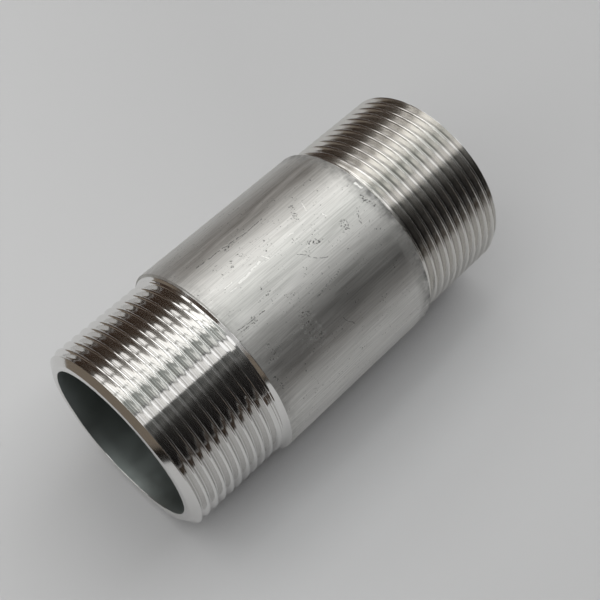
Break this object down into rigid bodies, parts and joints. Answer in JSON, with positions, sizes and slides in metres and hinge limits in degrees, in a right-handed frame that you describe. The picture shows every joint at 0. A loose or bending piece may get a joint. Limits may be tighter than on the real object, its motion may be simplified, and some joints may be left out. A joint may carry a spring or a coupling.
{
  "type": "double nipple",
  "caption": "Straight metal pipe nipple: a thick-walled tube with a coarse male pipe thread turned on each end and a plain satin barrel between them.",
  "frame": {"origin": "centre of the lower end face, on the surface the nipple stands on", "axes": "+Z along the bore, from the lower threaded end to the upper one; X and Y across it, where only the places at which the threads run out tell them apart"},
  "size_m": [0.05, 0.05, 0.1],
  "materials": {
    "aluminium": "bare aluminium, satin drawn barrel with bright turned threads"
  },
  "bodies": {
    "root": {"nipple": "aluminium"}
  },
  "joints": []
}
